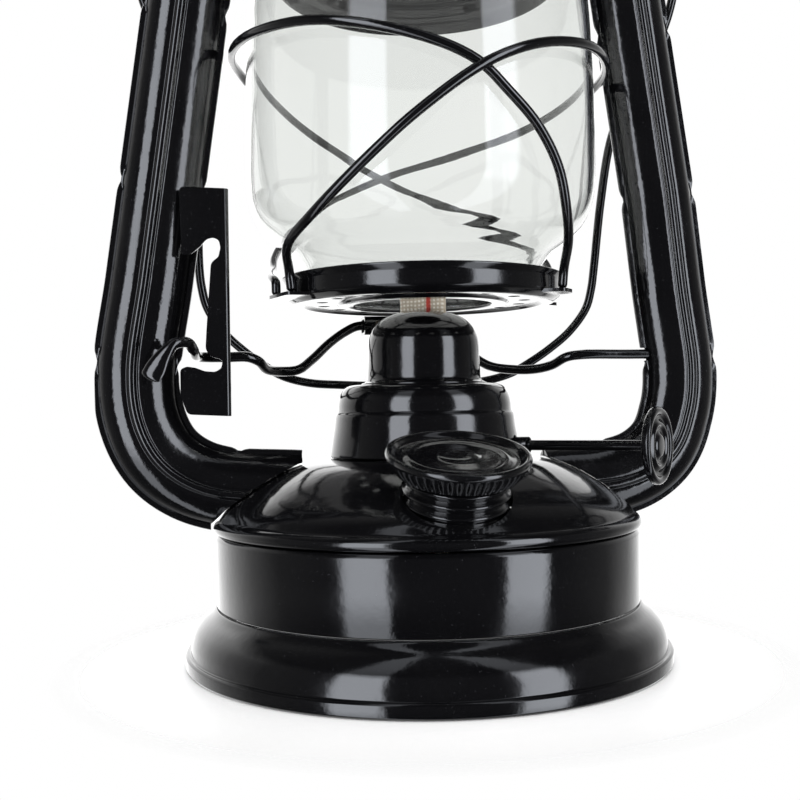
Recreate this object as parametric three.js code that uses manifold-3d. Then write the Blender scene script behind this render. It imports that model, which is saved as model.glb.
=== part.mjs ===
// Barn lantern: a tank with a flat-wick burner, two side air tubes, a glass globe that a crank lifts,
// and a sliding chimney. Millimetres, +Z up, origin at the centre of the base on the resting plane.
// +X is the wick knob's side and -Y is the filler cap's side. The globe is shown raised.
import * as THREE from 'three';
import { mergeVertices } from 'three/addons/utils/BufferGeometryUtils.js';
import Module from 'manifold-3d';

const wasm = await Module();
wasm.setup();

// ---- driving dimensions ----
const SHEET = 0.9; // pressed sheet thickness
const GAP = 0.3; // space between touching pieces
const TURNS = 24; // facets round a turned part
const BASE_R = 58;
const WAIST_R = 50.7;
const TANK_FLOOR_Z = 14.2;
const SHOULDER_Z = 30.8;
const COLLAR_Z = 48; // where the burner stands on the tank
const DECK_TOP_Z = 65; // top of the burner base
const CONE_R = 13.6;
const CONE_TOP_Z = 83;
const WICK_WIDTH = 12.7;
const WICK_THICK = 2;
const WICK_TOP_Z = 86.5;
const SPINDLE_Z = 50.2;
const SPINDLE_ANGLE = THREE.MathUtils.degToRad(-42.4); // heading of the wick spindle about +Z
const SPINDLE_OFFSET = 4.4; // spindle axis to the wick's middle plane
const KNOB_REACH = 57.4; // outer face of the knob along the spindle
const KNOB_R = 8.6;
const WHEEL_R = 3.1;
const FILLER_TILT = THREE.MathUtils.degToRad(16.3); // filler neck leans to the front
const FILLER_TOP = new THREE.Vector3(-1.8, -41.1, 49.7); // centre of the cap's top
const CAP_R = 15.2;
const PLATE_Z = 84; // underside of the raised globe plate
const PLATE_R = 33.4;
const PLATE_HOLE_R = 16.9;
const GLOBE_R = 42;
const GLOBE_TOP_Z = 168.6;
const GUARD_WIRE_R = 1.1;
const CRANK_WIRE_R = 1.25;
const CRANK_Z = 72; // height of the crank's axis, which lies on y = 0
const CRANK_THROW = new THREE.Vector2(24, 9.1); // crank pin from the axis, along y and z
const CRANK_PIN_HALF = 12.4; // half length of the crank pin
const TUBE_X = 65.35; // tube centre from the lantern's axis at TUBE_REF_Z
const TUBE_REF_Z = 85;
const TUBE_LEAN = 0.1435; // inward lean of the tubes, per unit height
const TUBE_HALF_WIDTH = 9.7; // over the seam flanges
const TUBE_HALF_DEPTH = 6;
const CHAMBER_R = 32;
const CHAMBER_Z = 185.5;
const CHAMBER_TOP_Z = 211.8;
const FLUE_R = 20.3;
const FLUE_TOP_Z = 241.4;
const HOOD_R = 30;
const HOOD_Z = 230.2;
const STAPLE_Z = 251.2;
const RING_R = 9;
const BAIL_PIVOT_Z = 175;
const BAIL_REACH = 115.3;
const BAIL_HANG = THREE.MathUtils.degToRad(18.3); // the bail hangs behind, this far off straight down
const BAIL_WIRE_R = 1.1;

// ---- materials ----
const metal = (color, roughness, metalness) => new THREE.MeshStandardMaterial({ color, roughness, metalness });
const enamel = metal(0x08080a, 0.12, 0.3);
const steel = metal(0x9a9da0, 0.35, 1);
const glass = new THREE.MeshStandardMaterial({ color: 0xf2f6f4, roughness: 0.03, transparent: true, opacity: 0.3 });
const cotton = metal(0xe8dcc6, 0.95, 0);
const rubber = metal(0x191919, 0.8, 0);

// ---- helpers ----
const lantern = new THREE.Group();

function add(name, geometry, material) {
  const mesh = new THREE.Mesh(geometry, material);
  mesh.name = name;
  lantern.add(mesh);
  return mesh;
}

// A turned solid about Z. The closed profile of [radius, z] runs up its outer side and down its inner side.
function turned(profile, facets = TURNS) {
  const points = profile.map(([r, z]) => new THREE.Vector2(r, z));
  const onAxis = profile[0][0] === 0 && profile[profile.length - 1][0] === 0;
  if (!onAxis) points.push(points[0].clone());
  return new THREE.LatheGeometry(points, facets).rotateX(Math.PI / 2);
}

function toSolid(geometry) {
  const bare = geometry.clone();
  bare.deleteAttribute('normal');
  bare.deleteAttribute('uv');
  const merged = mergeVertices(bare, 1e-4);
  const corners = merged.index.array;
  const kept = [];
  for (let i = 0; i < corners.length; i += 3) {
    const [a, b, c] = [corners[i], corners[i + 1], corners[i + 2]];
    if (a !== b && b !== c && c !== a) kept.push(a, b, c);
  }
  const vertProperties = new Float32Array(merged.attributes.position.array);
  return new wasm.Manifold(new wasm.Mesh({ numProp: 3, vertProperties, triVerts: new Uint32Array(kept) }));
}

function toGeometry(solid) {
  const mesh = solid.getMesh();
  const geometry = new THREE.BufferGeometry();
  geometry.setAttribute('position', new THREE.BufferAttribute(new Float32Array(mesh.vertProperties), 3));
  geometry.setIndex(new THREE.BufferAttribute(new Uint32Array(mesh.triVerts), 1));
  geometry.computeVertexNormals();
  return geometry;
}

function cut(geometry, ...tools) {
  return toGeometry(tools.reduce((solid, tool) => solid.subtract(toSolid(tool)), toSolid(geometry)));
}

function join(first, ...others) {
  return toGeometry(others.reduce((solid, other) => solid.add(toSolid(other)), toSolid(first)));
}

function roundShape(radius, sides) {
  const shape = new THREE.Shape();
  for (let i = 0; i < sides; i += 1) {
    const angle = (i + 0.5) / sides * 2 * Math.PI;
    const method = i === 0 ? 'moveTo' : 'lineTo';
    shape[method](radius * Math.cos(angle), radius * Math.sin(angle));
  }
  shape.closePath();
  return shape;
}

// A smooth path through the points whose steps are shared out by point, so close points give fine bends.
function evenBends(points) {
  const path = new THREE.CatmullRomCurve3(points.map((p) => new THREE.Vector3(...p)), false, 'centripetal');
  path.getUtoTmapping = (u) => u;
  return path;
}

function wire(points, radius, perSpan = 2, sides = 6) {
  const steps = (points.length - 1) * perSpan;
  const extrudePath = evenBends(points);
  return new THREE.ExtrudeGeometry(roundShape(radius, sides), { steps, extrudePath, bevelEnabled: false });
}

// A rod of the given radius between two points.
function rod(from, to, radius, sides = 12) {
  const start = new THREE.Vector3(...from);
  const line = new THREE.Vector3(...to).sub(start);
  const turn = new THREE.Quaternion().setFromUnitVectors(new THREE.Vector3(0, 1, 0), line.clone().normalize());
  const middle = start.addScaledVector(line, 0.5);
  return new THREE.CylinderGeometry(radius, radius, line.length(), sides).applyQuaternion(turn)
    .translate(...middle.toArray());
}

function box(x0, x1, y0, y1, z0, z1) {
  return new THREE.BoxGeometry(x1 - x0, y1 - y0, z1 - z0).translate((x0 + x1) / 2, (y0 + y1) / 2, (z0 + z1) / 2);
}

// ---- tank ----
function tank() {
  add('foot_skirt', turned([
    [55.8, 0], [57.4, 0], [BASE_R, 0.7], [BASE_R, 3.4], [57.2, 4], [56.5, 7.4], [54.8, 10.8], [WAIST_R + 0.1, 13.9],
    [WAIST_R - SHEET, 13.9], [53.8, 10.4], [55.6, 7], [56.2, 2],
  ]), enamel);
  add('tank_bottom', turned([
    [0, 15.4], [46.4, 15.4], [47.8, 14.4], [49.4, 14.4], [49.4, 16.8], [46.8, 16.3], [0, 16.3],
  ]), steel);
  add('tank_wall', turned([
    [WAIST_R - 1, TANK_FLOOR_Z], [WAIST_R, TANK_FLOOR_Z], [WAIST_R, SHOULDER_Z - GAP],
    [WAIST_R - 1, SHOULDER_Z - GAP],
  ]), enamel);
  const dome = turned([
    [49.6, SHOULDER_Z], [50.8, SHOULDER_Z], [51.2, 32.2], [50.8, 33.5], [48, 36.2], [43, 40], [38, 43.2],
    [30, 46.6], [24, 47.7], [15.3, 47.7], [15.3, 46.8], [24, 46.8], [30, 45.7], [38, 42.3], [47.4, 35.6],
  ]);
  add('tank_dome', cut(dome, fillerBar(11.9)), enamel);
}

// The space of the tank's outside, a little oversize, that the side tubes' ends are cut to.
function tankEnvelope() {
  return turned([
    [0, 27], [51.6, 27], [51.6, 33.3], [50.2, 34.5], [48.3, 36.6], [43.3, 40.4], [38.2, 43.6], [30.1, 47],
    [24, 48.1], [0, 48.1],
  ]);
}

// ---- filler, on an axis that leans to the front ----
const fillerAxis = new THREE.Vector3(0, -Math.sin(FILLER_TILT), Math.cos(FILLER_TILT));

function onFiller(geometry) {
  return geometry.rotateX(FILLER_TILT).translate(...FILLER_TOP.toArray());
}

function fillerBar(radius) {
  const low = FILLER_TOP.clone().addScaledVector(fillerAxis, -26);
  const high = FILLER_TOP.clone().addScaledVector(fillerAxis, -2);
  return rod(low.toArray(), high.toArray(), radius, 24);
}

function filler() {
  const neck = [[9, -16], [10.6, -16]];
  for (let ridge = 0; ridge < 4; ridge += 1) {
    const z = -12.6 + ridge * 2.3;
    neck.push([10.6, z], [11.3, z + 0.7], [10.6, z + 1.4]);
  }
  neck.push([10.6, -2.2], [9, -2.2]);
  add('filler_neck', onFiller(turned(neck, 20)), enamel);
  add('cap_gasket', onFiller(turned([[8.8, -1.9], [10.9, -1.9], [10.9, -1], [8.8, -1]], 20)), rubber);
  add('filler_cap', onFiller(turned([
    [0, -0.7], [11.6, -0.7], [11.6, -4.4], [12.6, -4.4], [14.9, -0.8], [CAP_R, -0.3], [CAP_R, 0.4], [14.4, 0.7],
    [13.5, 0.4], [12.6, -0.1], [0, 0.1],
  ], 24)), enamel);
}

// ---- burner ----
const spindleHeading = new THREE.Vector3(Math.cos(SPINDLE_ANGLE), Math.sin(SPINDLE_ANGLE), 0);
const spindleSide = new THREE.Vector3(-Math.sin(SPINDLE_ANGLE), Math.cos(SPINDLE_ANGLE), 0);

// A point along the spindle's axis, measured from the middle of the burner.
function onSpindle(along) {
  return spindleSide.clone().multiplyScalar(SPINDLE_OFFSET).addScaledVector(spindleHeading, along)
    .setZ(SPINDLE_Z).toArray();
}

// A flat bar that stands in the wick's plane: half sizes across and through, and its two ends.
function wickBar(halfWidth, halfThick, z0, z1) {
  return box(-halfWidth, halfWidth, -halfThick, halfThick, z0, z1).rotateZ(SPINDLE_ANGLE);
}

function turnedOnSpindle(profile, facets, along) {
  const turn = new THREE.Quaternion().setFromUnitVectors(new THREE.Vector3(0, 0, 1), spindleHeading);
  return turned(profile, facets).applyQuaternion(turn).translate(...onSpindle(along));
}

function wheel(name, along) {
  const shape = new THREE.Shape();
  const teeth = 10;
  for (let i = 0; i < teeth * 2; i += 1) {
    const angle = i / teeth * Math.PI;
    const radius = i % 2 === 0 ? WHEEL_R : WHEEL_R - 0.8;
    const method = i === 0 ? 'moveTo' : 'lineTo';
    shape[method](radius * Math.cos(angle), radius * Math.sin(angle));
  }
  shape.closePath();
  shape.holes.push(roundShape(1.2 + GAP, 10));
  const turn = new THREE.Quaternion().setFromUnitVectors(new THREE.Vector3(0, 0, 1), spindleHeading);
  const disc = new THREE.ExtrudeGeometry(shape, { depth: 1, bevelEnabled: false }).translate(0, 0, -0.5);
  add(name, disc.applyQuaternion(turn).translate(...onSpindle(along)), steel);
}

function burner() {
  const base = turned([
    [22.3, COLLAR_Z], [23.2, COLLAR_Z], [22.1, 54], [21.5, 57.8], [20.9, 58.5], [20.2, 62.6], [19.3, 64.4],
    [18.2, DECK_TOP_Z], [12.4, DECK_TOP_Z], [12.4, 64.1], [17.8, 64.1], [19.2, 62.4], [20, 58.1], [21.2, 53.9],
  ], 24);
  add('burner_base', cut(base, rod(onSpindle(10), onSpindle(34), 2.4)), enamel);
  const deck = turned([[0, 54.6], [19.8, 54.6], [19.8, 55.5], [0, 55.5]], 24);
  const airHoles = [];
  for (let i = 0; i < 8; i += 1) {
    const angle = (i + 0.5) / 8 * 2 * Math.PI;
    const [x, y] = [14.5 * Math.cos(angle), 14.5 * Math.sin(angle)];
    airHoles.push(rod([x, y, 53], [x, y, 57], 1.8, 6));
  }
  add('burner_deck', cut(deck, wickBar(7.2 + GAP, 1.8 + GAP, 50, 60), ...airHoles), steel);
  const cone = turned([
    [0, 82.1], [5, 81.8], [9, 80.3], [12, 76.9], [12.7, 74.4], [12.9, 66.6], [13.8, 65.3], [15.1, 65.3],
    [15.1, 66], [14.1, 66.4], [CONE_R, 74.5], [12.9, 77.3], [11.2, 79.8], [8.4, 81.8], [4.5, 82.8],
    [0, CONE_TOP_Z],
  ], 24);
  add('burner_cone', cut(cone, wickBar(8, 2.9, 78, 90)), enamel);
  const sleeve = cut(
    wickBar(7.2, 1.8, 38, 79), wickBar(6.7, 1.3, 30, 90),
    box(-4.2, -2.6, 0, 4, 46.8, 53.6).rotateZ(SPINDLE_ANGLE), box(2.6, 4.2, 0, 4, 46.8, 53.6).rotateZ(SPINDLE_ANGLE),
  );
  add('wick_tube', sleeve, steel);
  add('wick', wickBar(WICK_WIDTH / 2, WICK_THICK / 2, 24, WICK_TOP_Z), cotton);
  wheel('wick_wheel_1', -3.4);
  wheel('wick_wheel_2', 3.4);
  add('wick_spindle', rod(onSpindle(-6.5), onSpindle(KNOB_REACH - 3.6), 1.2), steel);
  add('spindle_bush', turnedOnSpindle([[1.5, -3], [2, -3], [2, 2.6], [1.5, 2.6]], 12, 23), steel);
  add('wick_knob', turnedOnSpindle([
    [0, -3.3], [2.4, -3.3], [2.6, -2.4], [KNOB_R, -1.9], [KNOB_R, -0.3], [8.2, 0], [6.8, 0], [6.2, -0.6],
    [4.6, -0.6], [4, 0], [0, 0],
  ], 20, KNOB_REACH), enamel);
}

// ---- side tubes ----
function tubeCentre(z) {
  return TUBE_X - TUBE_LEAN * (z - TUBE_REF_Z);
}

function tubeSection(grow) {
  const quarter = [
    [0.8 + grow, TUBE_HALF_WIDTH + grow], [0.8 + grow, 8.4 + grow], [4.4 + grow, 6.4 + grow],
    [TUBE_HALF_DEPTH + grow, 2.8 + grow],
  ];
  const back = quarter.map(([x, y]) => [x, -y]).reverse();
  const half = [...quarter, ...back];
  const all = [...half, ...half.map(([x, y]) => [-x, -y])];
  return new THREE.Shape(all.map(([x, y]) => new THREE.Vector2(x, y)));
}

function tubePath(side, inner) {
  const rise = [165, 68].map((z) => [tubeCentre(z), z]);
  const route = [
    [inner, 197], [36.5, 196.2], [43.8, 192.6], [49.2, 186], [52, 177.5], ...rise,
    [66.6, 57.2], [62.8, 49.3], [57, 44.3], [49, 41.3], [30, 39.9],
  ];
  return evenBends(route.map(([x, z]) => [side * x, 0, z]));
}

function tubeSolid(side, grow, hollow) {
  const shape = tubeSection(grow);
  if (hollow) {
    const bore = [[4.9, 2.2], [3.3, 5.4], [-3.3, 5.4], [-4.9, 2.2], [-4.9, -2.2], [-3.3, -5.4], [3.3, -5.4], [4.9, -2.2]];
    shape.holes.push(new THREE.Path(bore.map(([x, y]) => new THREE.Vector2(x, y))));
  }
  return new THREE.ExtrudeGeometry(shape, { steps: 22, extrudePath: tubePath(side, hollow ? 30 : 24), bevelEnabled: false });
}

function sideTubes() {
  add('tube_left', cut(tubeSolid(-1, 0, true), tankEnvelope()), enamel);
  const crankHole = rod([50, 0, CRANK_Z], [66, 0, CRANK_Z], CRANK_WIRE_R + 0.4);
  add('tube_right', cut(tubeSolid(1, 0, true), tankEnvelope(), crankHole), enamel);
}

// A plate on the left tube: a C open to the tube, with a flange that carries the crank.
function leverBracket() {
  const outline = [
    [-57.6, 110.6], [-46.8, 110.2], [-46.8, 58], [-56.4, 58.6], [-58, 63], [-58, 69], [-56.4, 69.6], [-54.5, 69.4],
    [-52.4, 68.6], [-50, 68.3], [-48.6, 69.2], [-48.2, 70.8], [-49.2, 71.2], [-50.8, 71.6], [-52.2, 73.4],
    [-51.9, 78], [-50.6, 93.2], [-48.9, 94.6], [-48.1, 96.6], [-48.6, 98.4], [-50, 99.1], [-51.6, 98.6],
    [-53, 96.9], [-55, 95.2], [-57.2, 94.8],
  ];
  const shape = new THREE.Shape(outline.map(([x, z]) => new THREE.Vector2(x, z)));
  const face = new THREE.ExtrudeGeometry(shape, { depth: SHEET, bevelEnabled: false }).rotateX(Math.PI / 2)
    .translate(0, -TUBE_HALF_DEPTH - GAP, 0);
  const flange = box(-47.5, -46.5, -TUBE_HALF_DEPTH - GAP - SHEET, 3.6, 58, 110.2);
  const bearing = rod([-50, 0, CRANK_Z], [-44, 0, CRANK_Z], CRANK_WIRE_R + 0.35);
  add('lever_bracket', cut(join(face, flange), bearing), enamel);
}

// ---- lift crank, a single bent wire ----
function liftCrank() {
  const [y, z] = CRANK_THROW.toArray();
  const wireParts = [
    [62.5, 0, 0], [52, 0, 0], [41, 0, 0], [37, 1.2, -0.5], [34.3, 5.5, -2.4], [31, 10, -3.2], [26.5, 14.5, -3],
    [21.5, 18.5, -1.8], [17.6, 21.6, 1.4], [15, 23.4, 6], [CRANK_PIN_HALF, y, z], [6, y, z], [-6, y, z],
    [-CRANK_PIN_HALF, y, z], [-15.8, 22.8, 7.6], [-20.5, 19.5, 4.4], [-25.5, 15.5, 0], [-29.5, 11.8, -2.7],
    [-34, 9.5, -3.1], [-37.6, 5.5, -2.7], [-39.8, 1.4, -0.9], [-42.4, 0, 0], [-47, 0, 0], [-51.2, -0.3, 0],
    [-53.8, -2.6, 0], [-54.5, -6.5, 0.2], [-54.9, -11, 1.2], [-56.2, -14.6, 2.6], [-58.8, -16.4, 2.2],
    [-61.6, -17, -0.8], [-63.8, -17.2, -4.6],
  ];
  const crank = wire(wireParts.map(([a, b, c]) => [a, b, CRANK_Z + c]), CRANK_WIRE_R);
  const pad = new THREE.CatmullRomCurve3([
    new THREE.Vector3(-59.2, -16.5, CRANK_Z + 1.9), new THREE.Vector3(-61.6, -17, CRANK_Z - 0.8),
    new THREE.Vector3(-64.6, -17.3, CRANK_Z - 6.2),
  ]);
  const flat = new THREE.Shape();
  flat.absellipse(0, 0, 2.9, 0.9, 0, 2 * Math.PI);
  const thumb = new THREE.ExtrudeGeometry(flat, { steps: 3, extrudePath: pad, bevelEnabled: false, curveSegments: 5 });
  add('lift_crank', join(crank, thumb), enamel);
}

// ---- globe carriage ----
function globePlate() {
  const dish = turned([
    [PLATE_HOLE_R, PLATE_Z], [31.8, PLATE_Z], [33, 84.7], [PLATE_R, 86], [PLATE_R, 89.3], [34.2, 89.6],
    [34.2, 90.4], [32.9, 90.4], [32.5, 86.4], [31.6, 85.1], [PLATE_HOLE_R, 84.9],
  ]);
  const tabs = [[-163, 7.2], [-40, 4], [15, 4]].map(([angle, half]) => box(32.6, 38, -half, half, 84.9, 86)
    .rotateZ(THREE.MathUtils.degToRad(angle)));
  const vents = [];
  for (let i = 0; i < 16; i += 1) {
    const angle = (i + 0.1) / 16 * 2 * Math.PI;
    const [x, y] = [24.6 * Math.cos(angle), 24.6 * Math.sin(angle)];
    vents.push(rod([x, y, PLATE_Z - 2], [x, y, PLATE_Z + 3], 1.4, 6));
  }
  add('globe_plate', cut(join(dish, ...tabs), ...vents), enamel);
  const strap = box(-11, 11, 21.6, 28.2, 78.6, PLATE_Z - GAP);
  const slot = box(-12, 12, 22.3, 27.5, 79.4, 82.9);
  add('plate_strap', cut(strap, slot), enamel);
}

// A guard wire as [heading in degrees, distance from the axis, z].
function guardLoop(name, route) {
  const points = route.map(([heading, r, z]) => {
    const angle = THREE.MathUtils.degToRad(heading);
    return [r * Math.cos(angle), r * Math.sin(angle), z];
  });
  add(name, wire(points, GUARD_WIRE_R), enamel);
}

function guard() {
  guardLoop('guard_loop_left', [
    [-156, 36.3, 86.7], [-155.5, 36.9, 90], [-147, 41.2, 94.9], [-133, 44.4, 100], [-115, 45.6, 110.7],
    [-102, 46, 119.2], [-85, 46.1, 128.9], [-68, 45.5, 134.8], [-44, 45, 138.4], [-15, 44.9, 139.3],
    [10, 44.9, 138.2], [35, 44.6, 134.9], [60, 44.1, 131.3], [90, 43.7, 124.8], [115, 43.9, 115],
    [134, 43.6, 104.6], [147, 40.6, 98.6], [159, 37.5, 94.2], [178, 36.5, 91], [-171.5, 36.3, 88.8], [-171, 36.3, 86.7],
  ]);
  guardLoop('guard_loop_right', [
    [-40, 36, 86.7], [-41, 36.6, 90], [-50, 40.8, 95.6], [-56.8, 43.8, 101.5], [-61, 44.4, 110], [-68, 44.1, 118],
    [-77, 43.7, 124.5], [-86, 43.6, 130.2], [-101, 44, 134.7], [-128, 44.8, 139.8], [-155, 45, 142.2],
    [180, 45, 143.4], [158, 45.2, 143.6], [140, 45.3, 140.4], [124, 45.7, 136], [112, 46, 132.3], [93, 46.2, 124.6],
    [75, 46.1, 117], [58, 45.8, 112], [42, 44.9, 105.6], [25, 41.8, 96.4], [16, 38.2, 90], [15, 37.2, 86.7],
  ]);
}

function globe() {
  const bottom = PLATE_Z + 1.4;
  add('glass_globe', turned([
    [26.8, bottom], [28.4, bottom], [28.6, 91], [29.9, 94.3], [32.6, 96.9], [36.4, 99.7], [39.4, 103.4],
    [41.2, 108], [GLOBE_R, 117], [41.9, 136], [41.1, 152], [39, GLOBE_TOP_Z], [37.4, GLOBE_TOP_Z], [39.5, 152],
    [40.3, 136], [40.4, 117], [38.6, 105.4], [35.3, 101.2], [31.7, 98.4], [28.6, 95.4], [27, 91.4],
  ]), glass);
}

// ---- chimney, which slides in the air chamber and rests on the globe ----
function chimney() {
  add('globe_holder', turned([
    [20.6, 169.6], [25, 169.6], [26.2, 167.4], [29.6, 167.4], [30.8, 165.2], [33.2, 164.4], [34, 161.8],
    [35, 161.8], [36.2, 168.6], [39.6, 169.4], [39.6, 170.4], [35.5, 169.7], [34.4, 165.4], [31.4, 166.2],
    [30.2, 168.6], [26.8, 168.6], [25.6, 170.6], [20.6, 170.6],
  ]), enamel);
  const flue = turned([[FLUE_R - 1, 168.8], [FLUE_R, 168.8], [FLUE_R, FLUE_TOP_Z], [FLUE_R - 1, FLUE_TOP_Z]]);
  const vents = [];
  for (let i = 0; i < 4; i += 1) {
    const [x, y] = [Math.cos(i * Math.PI / 4) * 26, Math.sin(i * Math.PI / 4) * 26];
    vents.push(rod([x, y, 234.6], [-x, -y, 234.6], 2.6, 8));
  }
  add('chimney_tube', cut(flue, ...vents), enamel);
  add('hood', turned([
    [0, 246.6], [13, 244.8], [21.5, 241.9], [26, 237.6], [29, 231.6], [29, HOOD_Z], [HOOD_R, HOOD_Z],
    [30.4, 231], [HOOD_R, 231.9], [26.9, 238.2], [22, 242.8], [13.2, 245.8], [0, 247.6],
  ], 24), enamel);
  add('ring_staple', wire([
    [-2.8, 0, 247.9], [-2.8, 0, 250.4], [-2.2, 0, 252.6], [0, 0, 253.9], [2.2, 0, 252.6], [2.8, 0, 250.4],
    [2.8, 0, 247.9],
  ], 0.8), enamel);
  const tilt = THREE.MathUtils.degToRad(13);
  const ring = new THREE.TorusGeometry(RING_R, 1, 6, 20).translate(-RING_R, 0, 0).rotateY(-tilt)
    .translate(0, 0, STAPLE_Z);
  add('lift_ring', ring, enamel);
}

function airChamber() {
  const tubes = [tubeSolid(-1, GAP, false), tubeSolid(1, GAP, false)];
  const pan = turned([
    [21.3, CHAMBER_Z], [30.6, CHAMBER_Z], [CHAMBER_R, 187], [CHAMBER_R, 195.6], [33.4, 195.6], [33.4, 196.4],
    [31.1, 196.4], [31.1, 187.4], [30.3, 186.4], [21.3, 186.4],
  ]);
  add('chamber_pan', cut(pan, ...tubes), enamel);
  const lid = turned([
    [31.1, 196.7], [33.4, 196.7], [33.4, 197.5], [CHAMBER_R, 197.5], [CHAMBER_R, 207.4], [30.2, 209.4], [23.6, 211],
    [22.2, CHAMBER_TOP_Z], [21.3, CHAMBER_TOP_Z], [21.3, 210.8], [23.2, 210.1], [29.8, 208.5], [31.1, 207],
  ]);
  add('chamber_lid', cut(lid, ...tubes), enamel);
}

// ---- bail and its ears ----
function bail() {
  const half = [
    [63, 0], [66.6, 0], [67.8, 1.6], [67.3, 8], [65.8, 17], [61.4, 29], [56.4, 38.4], [54, 48], [53.3, 64],
    [53.2, 82], [52.6, 88], [51.2, 93.4], [47, 100], [41.7, 105.1], [36.6, 109], [31.5, 112.1], [24.5, 114.1],
    [16, BAIL_REACH - 0.5],
  ];
  const points = [...half, [0, BAIL_REACH], ...half.map(([x, s]) => [-x, s]).reverse()];
  const placed = points.map(([x, s]) => [x, s * Math.sin(BAIL_HANG), BAIL_PIVOT_Z - s * Math.cos(BAIL_HANG)]);
  add('bail', wire(placed, BAIL_WIRE_R), enamel);
  for (const [name, side] of [['left', -1], ['right', 1]]) {
    const plate = new THREE.Shape();
    plate.moveTo(-4, 167.6);
    plate.lineTo(4, 167.6);
    plate.lineTo(4, 175);
    plate.absarc(0, 175, 4, 0, Math.PI);
    plate.closePath();
    plate.holes.push(new THREE.Path().absarc(0, 175, BAIL_WIRE_R + 0.4, 0, 2 * Math.PI));
    const ear = new THREE.ExtrudeGeometry(plate, { depth: 1.2, bevelEnabled: false, curveSegments: 6 })
      .rotateX(Math.PI / 2).rotateZ(Math.PI / 2).translate(side > 0 ? 63.7 : -64.9, 0, 0);
    add(`ear_${name}`, ear, enamel);
    const head = rod([side * 65.2, 0, 170], [side * 66, 0, 170], 1.7, 10);
    add(`ear_rivet_${name}`, head, steel);
  }
}

tank();
filler();
burner();
sideTubes();
leverBracket();
liftCrank();
globePlate();
guard();
globe();
chimney();
airChamber();
bail();

export default lantern;
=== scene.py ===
"""A black enamelled barn lantern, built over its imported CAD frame. Lengths in this file are millimetres."""

import math

import bmesh
import bpy
from mathutils import Matrix, Vector


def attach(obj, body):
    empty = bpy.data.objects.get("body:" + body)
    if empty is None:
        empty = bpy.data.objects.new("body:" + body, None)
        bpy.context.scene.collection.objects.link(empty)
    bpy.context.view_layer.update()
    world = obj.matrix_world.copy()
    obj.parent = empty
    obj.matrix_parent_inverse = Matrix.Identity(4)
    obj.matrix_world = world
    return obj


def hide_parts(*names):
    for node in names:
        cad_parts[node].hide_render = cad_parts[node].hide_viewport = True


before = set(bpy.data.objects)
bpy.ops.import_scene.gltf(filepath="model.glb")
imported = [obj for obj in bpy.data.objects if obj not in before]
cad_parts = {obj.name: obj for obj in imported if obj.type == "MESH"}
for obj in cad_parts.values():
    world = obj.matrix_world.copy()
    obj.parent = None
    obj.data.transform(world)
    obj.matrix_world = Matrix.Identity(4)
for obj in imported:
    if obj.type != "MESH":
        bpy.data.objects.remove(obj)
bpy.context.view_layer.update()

MM = 0.001
SHEET = 0.9
SPINDLE_ANGLE = math.radians(-42.4)
SPINDLE_OFFSET = 4.4
SPINDLE_Z = 50.2
KNOB_REACH = 57.4
FILLER_TILT = math.radians(16.3)
FILLER_TOP = Vector((-1.8, -41.1, 49.7))
CRANK_Z = 72
BAIL_PIVOT_Z = 175
BAIL_HANG = math.radians(18.3)
GUARD_WIRE_R = 1.08
BAIL_WIRE_R = 1.18
CRANK_WIRE_R = 1.22
VENT_COUNT, VENT_CIRCLE_R, VENT_R = 16, 24.6, 1.45
TUBE_BODY_HALF = 8.7  # half the width of a side tube's pressed body
TUBE_TIP = 10.0  # half its width over the seam flanges
TUBE_REACH = 77.4  # the flanges' furthest place from the middle
RIB_AT, RIB_HALF = 1.0, 0.75  # the raised rib's place outward of the tube's middle, and half its width
CRIMP_PITCH = 42


# ---- materials ----
def node_material(name):
    mat = bpy.data.materials.new(name)
    mat.use_nodes = True
    nodes, links = mat.node_tree.nodes, mat.node_tree.links
    shader = nodes["Principled BSDF"]
    coords = nodes.new("ShaderNodeTexCoord")
    return mat, nodes, links, shader, coords


def noise(nodes, links, coords, scale, detail=2.0, stretch=None):
    tex = nodes.new("ShaderNodeTexNoise")
    tex.inputs["Scale"].default_value = scale
    tex.inputs["Detail"].default_value = detail
    source = coords.outputs["Object"]
    if stretch:
        mapping = nodes.new("ShaderNodeMapping")
        mapping.inputs["Scale"].default_value = stretch
        links.new(source, mapping.inputs["Vector"])
        source = mapping.outputs["Vector"]
    links.new(source, tex.inputs["Vector"])
    return tex.outputs["Fac"]


def spread(nodes, links, value, lo, hi, start=0.3, end=0.7):
    ranged = nodes.new("ShaderNodeMapRange")
    ranged.inputs["From Min"].default_value = start
    ranged.inputs["From Max"].default_value = end
    ranged.inputs["To Min"].default_value = lo
    ranged.inputs["To Max"].default_value = hi
    links.new(value, ranged.inputs["Value"])
    return ranged.outputs["Result"]


def tint(nodes, links, value, stops):
    ramp = nodes.new("ShaderNodeValToRGB")
    elements = ramp.color_ramp.elements
    while len(elements) < len(stops):
        elements.new(0.5)
    for element, (place, colour) in zip(elements, stops):
        element.position = place
        element.color = (*colour, 1)
    links.new(value, ramp.inputs["Fac"])
    return ramp.outputs["Color"]


def bump(nodes, links, height, strength, distance, below=None):
    node = nodes.new("ShaderNodeBump")
    node.inputs["Strength"].default_value = strength
    node.inputs["Distance"].default_value = distance
    links.new(height, node.inputs["Height"])
    if below is not None:
        links.new(below, node.inputs["Normal"])
    return node.outputs["Normal"]


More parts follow.
